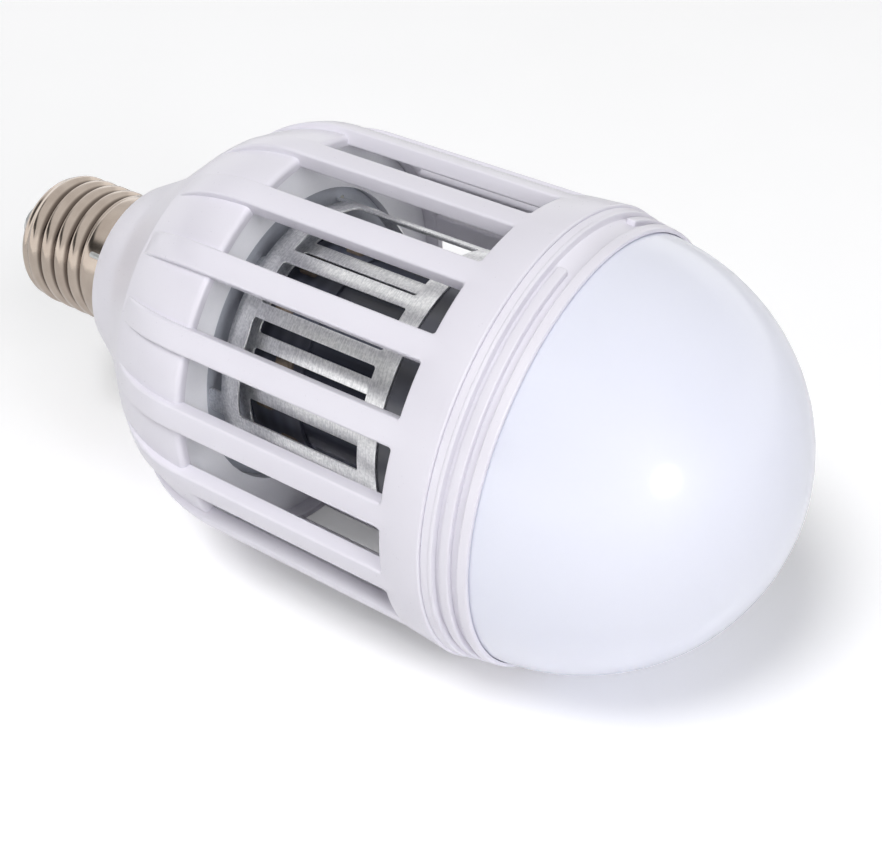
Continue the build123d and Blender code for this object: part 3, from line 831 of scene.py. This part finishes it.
LED_COUNT, LED_LENGTH, LED_WIDTH, LED_HEIGHT, LED_ROW_GAP = 15, 3.5, 2.8, 0.9, 3.6
FIRST_LED = 132
CASE_SINK, CASE_DROP, CASE_CORNER, CASE_ROUNDING = 0.05, 0.3, 0.4, 0.12
LENS_RADIUS, LENS_HEIGHT, LENS_SIDES = 1.1, 0.35, 20
led_middle = (span("uv_leds")[0][0] + span("uv_leds")[1][0]) / 2
led_turns = np.radians(FIRST_LED + 360 * np.arange(LED_COUNT) / LED_COUNT)
led_x = led_middle - LED_ROW_GAP / 2 + LED_ROW_GAP * (np.arange(LED_COUNT) % 2)
led_top = STRIP_RADIUS + LED_HEIGHT
led_half = LED_WIDTH / 2 / led_top
cases = [
    wrapped_plate(
        (x - LED_LENGTH / 2, x + LED_LENGTH / 2), (turn - led_half, turn + led_half),
        STRIP_RADIUS - CASE_SINK, led_top - CASE_DROP, CASE_CORNER, CASE_ROUNDING, 4,
    )
    for x, turn in zip(led_x, led_turns)
]


def lens(x, turn):
    """A low dome on an LED: rings of points at radius times sine, raised by height times cosine."""
    tilt = np.linspace(0, pi / 2, 6)[:, None]
    around = np.arange(LENS_SIDES) * 2 * pi / LENS_SIDES
    foot = led_top - LENS_HEIGHT
    r = foot + LENS_HEIGHT * np.cos(tilt) + 0 * around
    tangent = LENS_RADIUS * np.sin(tilt) * np.sin(around)
    points = round_axis(x + LENS_RADIUS * np.sin(tilt) * np.cos(around), r, turn + tangent / led_top)
    base = round_axis(x, foot, turn + 0 * around)
    return np.concatenate((points, base)), grid_faces(len(tilt) + 1, LENS_SIDES, wrap_columns=True)


lenses = [lens(x, turn) for x, turn in zip(led_x, led_turns)]
piece("uv_led_cases", [*cases, *lenses], led_finish, ["uv_leds"])

# %% [markdown]
# ## The screw cap
#
# The cap is a thin nickel-plated brass shell with the round thread of a domestic lamp, pressed into
# the sheet. Boolean cutting would leave a ragged thread. Here the radius itself is a wave along the
# lamp whose phase turns once per pitch as the angle goes round, so the crest is a true helix. The wave
# fades out at both ends, as rolled threads do. Plating makes a warm, slightly soft mirror, darker in
# the roots partly from dirt and partly as painted shade of the grooves.

# %% The thread's surface
PITCH = 3.63
THREAD_DEPTH = 0.95
CREST_RADIUS = 13.1
SKIRT_RADIUS = 13.25
CURL_RUN, CURL_DROP = 4.4, 3.9
CURL_ARC = arc_top(CURL_RUN, CURL_DROP)
CURL_END = SHELL_START + CURL_RUN
THREAD_FADE_IN = (9.4, 12.6)
THREAD_FADE_OUT = (25.4, 26.8)
THREAD_END = 26.9
SKIRT_STEP = 0.4  # length over which the skirt steps up from the thread
ROOT_NARROWING = 1.7  # above one, the crests are broader than the roots
CAP_SHEET = 0.3


def ease(x, start, end):
    """Zero before start, one after end, and a smooth S between them."""
    share = np.clip((x - start) / (end - start), 0, 1)
    return share * share * (3 - 2 * share)


def thread_wave(x, angle):
    """Half of one minus the cosine of the helix phase, to a power, and faded out at both ends."""
    wave = (0.5 - 0.5 * np.cos(2 * pi * x / PITCH - angle)) ** ROOT_NARROWING
    return wave * ease(x, *THREAD_FADE_IN) * (1 - ease(x, *THREAD_FADE_OUT))


def cap_radius(x, angle):
    """The crest's radius, less the curl's arc and the depth times the thread's wave."""
    curl = CURL_ARC - np.sqrt(CURL_ARC**2 - np.minimum(x - CURL_END, 0) ** 2)
    step = (SKIRT_RADIUS - CREST_RADIUS) * ease(x, THREAD_END - SKIRT_STEP, THREAD_END)
    return CREST_RADIUS - curl + step - THREAD_DEPTH * thread_wave(x, angle)


curl_x = CURL_END - CURL_RUN * np.sin(np.linspace(pi / 2, 0, 20))
thread_x = np.linspace(CURL_END, THREAD_END, 118)[1:]
skirt_x = np.linspace(THREAD_END, NECK_START, 5)[1:]
cap_x = np.concatenate((curl_x, thread_x, skirt_x))[:, None]
cap_angle = np.arange(TURN_STEPS) * 2 * pi / TURN_STEPS
bore_end = CREST_RADIUS - THREAD_DEPTH
bore_x = (NECK_START, THREAD_END + 0.1, THREAD_END, CURL_END, *curl_x[-5:0:-5], SHELL_START)
bore_x = np.array(bore_x)[:, None]
skirt_bore = np.array((SKIRT_RADIUS, SKIRT_RADIUS, bore_end))[:, None]
curl_bore = np.minimum(cap_radius(bore_x[3:], 2 * pi * bore_x[3:] / PITCH), bore_end)
cap_points = np.concatenate((
    round_axis(cap_x, cap_radius(cap_x, cap_angle), cap_angle),
    round_axis(bore_x, np.concatenate((skirt_bore, curl_bore)) - CAP_SHEET, cap_angle),
))
cap_faces = grid_faces(len(cap_x) + len(bore_x), TURN_STEPS, True, True)
print("thread turns:", round((THREAD_FADE_OUT[0] - THREAD_FADE_IN[1]) / PITCH, 1))

# %% Nickel plate, and the cap's piece
def nickel_plate(tree, place):
    """Bright nickel over drawn brass: a warm grey mirror with handling haze, darker in the roots, partly
    tarnish and partly painted shade.
    """
    haze = add_node(tree, "ShaderNodeTexNoise", {"Vector": place, "Scale": per_metre(5), "Detail": 3.0})
    stretch = (per_metre(0.12), per_metre(4), per_metre(4))
    drawn = add_node(tree, "ShaderNodeMapping", {"Vector": place, "Scale": stretch}).outputs["Vector"]
    marks = add_node(tree, "ShaderNodeTexNoise", {"Vector": drawn, "Scale": 1.0, "Detail": 2.0})
    tint = add_node(
        tree, "ShaderNodeMix",
        {"Factor": haze.outputs["Fac"], 6: colour("A3958A"), 7: colour("C6BAAE")}, data_type="RGBA",
    )
    # The roots darken towards 453830: partly tarnish and dirt, partly painted shade of the grooves.
    root = add_node(tree, "ShaderNodeAttribute", attribute_name="root").outputs["Fac"]
    root_dirt_and_shade = add_node(
        tree, "ShaderNodeMapRange", {"Value": root, "From Min": 0.45, "From Max": 0.95, "To Max": 0.85},
        interpolation_type="SMOOTHSTEP",
    )
    tarnish_and_painted_shade = add_node(
        tree, "ShaderNodeMix",
        {"Factor": root_dirt_and_shade.outputs["Result"], 6: tint.outputs[2], 7: colour("453830")}, data_type="RGBA",
    )
    gloss = add_node(
        tree, "ShaderNodeMapRange", {"Value": haze.outputs["Fac"], "To Min": 0.10, "To Max": 0.24},
    )
    bump = add_node(
        tree, "ShaderNodeBump", {"Height": marks.outputs["Fac"], "Strength": 0.15, "Distance": 0.02 * MM},
    )
    return add_node(tree, "ShaderNodeBsdfPrincipled", {
        "Base Color": tarnish_and_painted_shade.outputs[2],
        "Metallic": 1.0,
        "Roughness": gloss.outputs["Result"],
        "Normal": bump.outputs["Normal"],
    })


nickel = new_material("nickel_plated_brass", nickel_plate)
cap = piece("cap_shell", [(cap_points, cap_faces)], nickel, ["screw_shell"])
# The root attribute is the mask for the nickel's root darkening, which is partly dirt and partly painted
# shade.
mark(cap, "root", thread_wave)

# %% [markdown]
# ## The cap's end
#
# Black glass is melted into the end of the shell to insulate it, and the centre contact is a disc with
# a drop of solder over the wire. Both are turned; the solder's drop is a bell curve, because it wets
# the disc and flattens out. A second, small run of the same solder joins the side wire to the skirt.

# %% Black glass, solder, and the cap's end pieces
# Vitrite, a lead glass moulded hot: black and glossy, with soft ripples.
glass = new_material("black_cap_glass", grained(
    "0E0E11", "1B1B20", 3.0, (0.12, 0.12), bump=0.4, detail=1.0, depth=0.15, IOR=1.6,
))
# Tin solder, frozen from a drop: bright, with a fine wrinkled skin and a dull film.
solder = new_material("soft_solder", grained(
    "A5A7A8", "D5D6D4", 0.6, (0.32, 0.32), metallic=1.0, bump=0.5, detail=4.0, depth=0.1,
))

CONTACT_HEIGHT, CONTACT_RADIUS, GLASS_RADIUS = 1.6, 4.3, 8.75
GLASS_TIP = (CONTACT_HEIGHT, 4.7, EDGE_ROUNDING)
GLASS_BELLY = (SHELL_START - 1.2, 7.7, 3.0)
GLASS_BACK = SHELL_START + 1.1
piece("cap_glass", [turned(outline(
    (CONTACT_HEIGHT, 0), GLASS_TIP, GLASS_BELLY,
    (SHELL_START + 0.1, GLASS_RADIUS, EDGE_ROUNDING), (GLASS_BACK, GLASS_RADIUS), (GLASS_BACK, 0),
))], glass, ["cap_insulator"])

DISC_FRONT, DISC_EDGE, DROP_WIDTH, DROP_FALL = 0.75, 0.25, 2.5, 2.6
DISC_BACK = CONTACT_HEIGHT + 0.1
drop_r = np.linspace(0, CONTACT_RADIUS - 0.3, 16)
drop_x = DISC_FRONT * (1 - np.exp(-((drop_r / DROP_WIDTH) ** DROP_FALL)))
disc = outline(
    (DISC_FRONT, 0), (DISC_FRONT, CONTACT_RADIUS, DISC_EDGE),
    (DISC_BACK, CONTACT_RADIUS), (DISC_BACK, 0),
)
drop = turned(np.concatenate((pairs(drop_x, drop_r), disc[1:])), closed=False)

JOINT_REACH = (28.2, NECK_START - 0.05)
JOINT_ANGLES = (radians(143.6), radians(148.6))
JOINT_SINK, JOINT_HEIGHT, JOINT_CORNER, JOINT_ROUNDING = 0.1, 0.35, 0.5, 0.34
joint = wrapped_plate(
    JOINT_REACH, JOINT_ANGLES, SKIRT_RADIUS - JOINT_SINK, SKIRT_RADIUS + JOINT_HEIGHT,
    JOINT_CORNER, JOINT_ROUNDING, 8,
)
piece("contact_drop", [drop, joint], solder, ["centre_contact"])

# %% [markdown]
# ## Finishes of the parts that stay as CAD solids
#
# The holders, the plate behind the electrodes and everything inside the closed ends have the right
# shape already. Each gets the finish of its real material from the grained recipe above, except that
# the cover's white and the rear holder's grey are lightened as painted light against the shade of their
# recess. A row has the finish's name, its numbers and the nodes it covers: wire and a drawn can have
# stretched grain, as lines and rings, ferrite and epoxy are rough, and dipped lacquer is smooth.

# %% Give each CAD part its finish
WEAVE, COPPER_WIND, CAN_DRAW, BRUSHED = (1, 1, 4), (4, 0.4, 0.4), (0.2, 2, 2), (1, 0.1, 3)
finishes = (
    # The cover's white is lighter than the housing's: painted light that offsets the shade of its recess.
    ("white_cover_with_painted_light", grained("F3F4FA", "FAFAFE", 0.5, (0.25, 0.40), bump=0.1), ["driver_cover"]),
    # The rear holder's grey is lifted above its own tone: painted light for its shaded recess.
    ("grey_nylon_with_painted_light", grained("B4B8C3", "C4C8D1", 0.5, (0.30, 0.45), bump=0.1), ["rear_holder"]),
    ("moulded_dark_nylon", grained("53545B", "5F6067", 2.5, (0.20, 0.28), bump=0.03), ["front_holder"]),
    ("glass_fibre_board", grained("27472C", "35603B", 0.6, (0.35, 0.55), stretch=WEAVE),
     ["driver_board"]),
    ("sintered_ferrite", grained("232327", "38383C", 0.4, (0.5, 0.75), bump=0.5), ["transformer_core"]),
    ("enamelled_copper", grained("8A4522", "C8784A", 0.3, (0.2, 0.4), 0.8, 0.6, COPPER_WIND),
     ["transformer_coil", "choke"]),
    ("drawn_aluminium", grained("A6A8AD", "C6C8CC", 0.5, (0.25, 0.4), 1.0, 0.2, CAN_DRAW),
     ["electrolytic_capacitor"]),
    ("dipped_film", grained("8C2B18", "A9391F", 1.5, (0.15, 0.3), bump=0.3), ["film_capacitors"]),
    ("moulded_epoxy", grained("121214", "1E1E21", 0.2, (0.5, 0.7), bump=0.4),
     ["rectifier", "driver_chip"]),
    ("coated_resistor", grained("4E7289", "6A92A8", 0.8, (0.3, 0.45)), ["fuse_resistor"]),
    ("pvc_insulation", grained("B4B4AC", "CACAC2", 0.8, (0.35, 0.5)),
     ["centre_lead", "side_lead", "led_leads", "electrode_leads"]),
    ("brushed_aluminium", grained("B4B6BB", "D4D6DA", 0.3, (0.3, 0.45), 1.0, 0.3, BRUSHED),
     ["heat_plate"]),
    ("white_solder_resist", grained("E2E4E6", "EFF0F2", 0.5, (0.3, 0.45)), ["led_board"]),
    ("yellow_phosphor", grained("E2C850", "F2DE7A", 0.25, (0.35, 0.5), bump=0.3), ["white_leds"]),
    ("zinc_plated_steel", grained("A3A5A8", "C9CBCD", 0.5, (0.25, 0.4), 1.0, 0.3), ["plate_screws"]),
)
finished = set()
for name, build, nodes in finishes:
    material = new_material(name, build)
    for node in nodes:
        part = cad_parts[node]
        if not part.material_slots:
            part.data.materials.append(None)
        for material_slot in part.material_slots:
            material_slot.material = material
        finished.add(node)
left_out = [n for n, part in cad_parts.items() if not part.hide_render and n not in finished]
print(len(finishes), "finishes; CAD parts without one:", left_out)

# %% [markdown]
# ## Floor, light and camera
#
# A product picture on white is a large soft key from above, a fill that reaches in between the ribs, a
# small front lamp that leaves a clear highlight on the dome, and a floor that keeps only a soft shadow.
# Together they light a surface at a plain level, at which its colour shows about as it is written. The
# camera sees the world as white, and the floor gets a small lift for the camera alone, by the Light
# Path node, so that nothing needs more light to get there. Reflections see the world as a white tent
# with a dark gap on the cap's side and a brighter strip below it, because a mirror such as the nickel
# cap needs both a dark and a light thing to reflect.

# %% The floor and the world
FLOOR_LEVEL = float(cad_box[0][2])
FLOOR_SIZE = 3.0
AMBIENT = 0.19
FLOOR_GLOW = 0.14
GAP_LOW, GAP_HIGH = 0.34, 0.58  # the tent's gap, as the sine of its lowest and highest elevation
GAP_SOFT = 0.04
GAP_SIDE = (-0.76, -0.65, 0.0)  # towards the middle of the gap
GAP_REACH, GAP_END = 0.70, 0.56  # cosines of the turns from there at which it begins to fade and ends
GAP_LEVEL = 0.06
HORIZON_LEVEL = 1.45  # of the strip between the gap and the table


def white_table(tree, place):
    """Matt white paper: a diffuse sheet with faint fibres, and a lift to white where it is seen."""
    fibre = add_node(tree, "ShaderNodeTexNoise", {"Vector": place, "Scale": per_metre(40), "Detail": 2.0})
    paper = add_node(
        tree, "ShaderNodeMix",
        {"Factor": fibre.outputs["Fac"], 6: colour("FAFAFB"), 7: colour("FDFDFE")}, data_type="RGBA",
    )
    sheet = add_node(tree, "ShaderNodeBsdfDiffuse", {"Color": paper.outputs[2]})
    seen = add_node(tree, "ShaderNodeLightPath").outputs["Is Camera Ray"]
    lift = add_node(tree, "ShaderNodeMath", {0: seen, 1: FLOOR_GLOW}, operation="MULTIPLY")
    glow = add_node(tree, "ShaderNodeEmission", {"Color": (1, 1, 1, 1), "Strength": lift.outputs[0]})
    return add_node(tree, "ShaderNodeAddShader", {0: sheet.outputs[0], 1: glow.outputs[0]})


half = FLOOR_SIZE / 2
floor_mesh = bpy.data.meshes.new("floor")
square = ((-half, -half), (half, -half), (half, half), (-half, half))
floor_mesh.from_pydata([(x, y, FLOOR_LEVEL) for x, y in square], [], [(0, 1, 2, 3)])
floor_mesh.materials.append(new_material("white_table", white_table))
floor = bpy.data.objects.new("floor", floor_mesh)
bpy.context.scene.collection.objects.link(floor)

world = bpy.data.worlds.new("studio")
bpy.context.scene.world = world
world.use_nodes = True
tent = world.node_tree
tent.nodes.clear()
way = add_node(tent, "ShaderNodeTexCoord").outputs["Generated"]
height = add_node(tent, "ShaderNodeSeparateXYZ", {"Vector": way}).outputs["Z"]
aside = add_node(
    tent, "ShaderNodeVectorMath", {0: way, 1: GAP_SIDE}, operation="DOT_PRODUCT",
).outputs["Value"]
rays = add_node(tent, "ShaderNodeLightPath").outputs

# The tent is white above the gap and beside it, brighter below it, and white all over for the camera.
shown = rays["Is Camera Ray"]
for value, start, end, low, high in (
    (height, GAP_HIGH - GAP_SOFT, GAP_HIGH + GAP_SOFT, GAP_LEVEL, 1.0),
    (height, GAP_LOW + GAP_SOFT, GAP_LOW - GAP_SOFT, GAP_LEVEL, HORIZON_LEVEL),
    (aside, GAP_REACH, GAP_END, 0.0, 1.0),
):
    level = add_node(
        tent, "ShaderNodeMapRange",
        {"Value": value, "From Min": start, "From Max": end, "To Min": low, "To Max": high},
        interpolation_type="SMOOTHSTEP",
    ).outputs["Result"]
    shown = add_node(tent, "ShaderNodeMath", {0: shown, 1: level}, operation="MAXIMUM").outputs[0]

# Camera, reflections and clear materials see the tent; diffuse light gets the ambient level.
direct = rays["Is Camera Ray"]
for ray in ("Is Glossy Ray", "Is Transmission Ray"):
    direct = add_node(tent, "ShaderNodeMath", {0: direct, 1: rays[ray]}, operation="MAXIMUM").outputs[0]
ambient = add_node(tent, "ShaderNodeBackground", {"Color": (1, 1, 1, 1), "Strength": AMBIENT})
white = add_node(tent, "ShaderNodeBackground", {"Color": (1, 1, 1, 1), "Strength": shown})
sky = add_node(tent, "ShaderNodeMixShader", {0: direct, 1: ambient.outputs[0], 2: white.outputs[0]})
add_node(tent, "ShaderNodeOutputWorld", {"Surface": sky.outputs[0]})
print("floor at", round(FLOOR_LEVEL / MM, 2), "mm")

# %% Lamps
LAMP_MIDDLE, DOME_BACK = (0.085, 0, 0), (0.13, 0, 0)


def softbox(name, direction, distance, size, level, reflected=False, target=LAMP_MIDDLE):
    """A round area lamp, at a distance along a direction from its target, facing it.

    Its power is the level times pi squared times the distance squared, so that a white surface that
    faces it shows as white at a level of one.
    """
    lamp = bpy.data.lights.new(name, "AREA")
    lamp.shape = "DISK"
    lamp.size = size
    lamp.energy = level * (pi * distance) ** 2
    way = Vector(direction).normalized()
    holder = bpy.data.objects.new(name, lamp)
    holder.location = Vector(target) + way * distance
    holder.rotation_mode = "QUATERNION"
    holder.rotation_quaternion = way.to_track_quat("Z", "Y")
    holder.visible_glossy = reflected
    bpy.context.scene.collection.objects.link(holder)
    print(name, "light:", round(lamp.energy, 2), "W")


softbox("key", (-0.05, -0.45, 0.89), 4.0, 1.6, 0.62)
softbox("fill", (0.75, -0.35, 0.56), 3.5, 1.7, 0.27)
softbox("front", (0.90, -0.33, 0.29), 0.8, 0.16, 0.16, reflected=True, target=DOME_BACK)

# %% The camera
CAMERA_PLACE = (0.22606, -0.1746, 0.1517)
CAMERA_BACK = (0.4646, -0.6536, 0.5975)
camera = bpy.data.cameras.new("camera")
camera.lens = 61.4
camera.sensor_width = 36.0
camera.clip_start = 0.01
eye = bpy.data.objects.new("camera", camera)
eye.location = CAMERA_PLACE
eye.rotation_mode = "QUATERNION"
eye.rotation_quaternion = Vector(CAMERA_BACK).to_track_quat("Z", "Y")
bpy.context.scene.collection.objects.link(eye)
bpy.context.scene.camera = eye
bpy.context.scene.view_settings.view_transform = "Standard"

# %% [markdown]
# ## Finish
#
# The new pieces are meant to stay in the CAD model's box; the last cell counts their faces.

# %% Face count and the end
print("faces in new pieces:", sum(len(made.data.polygons) for made in made_pieces))
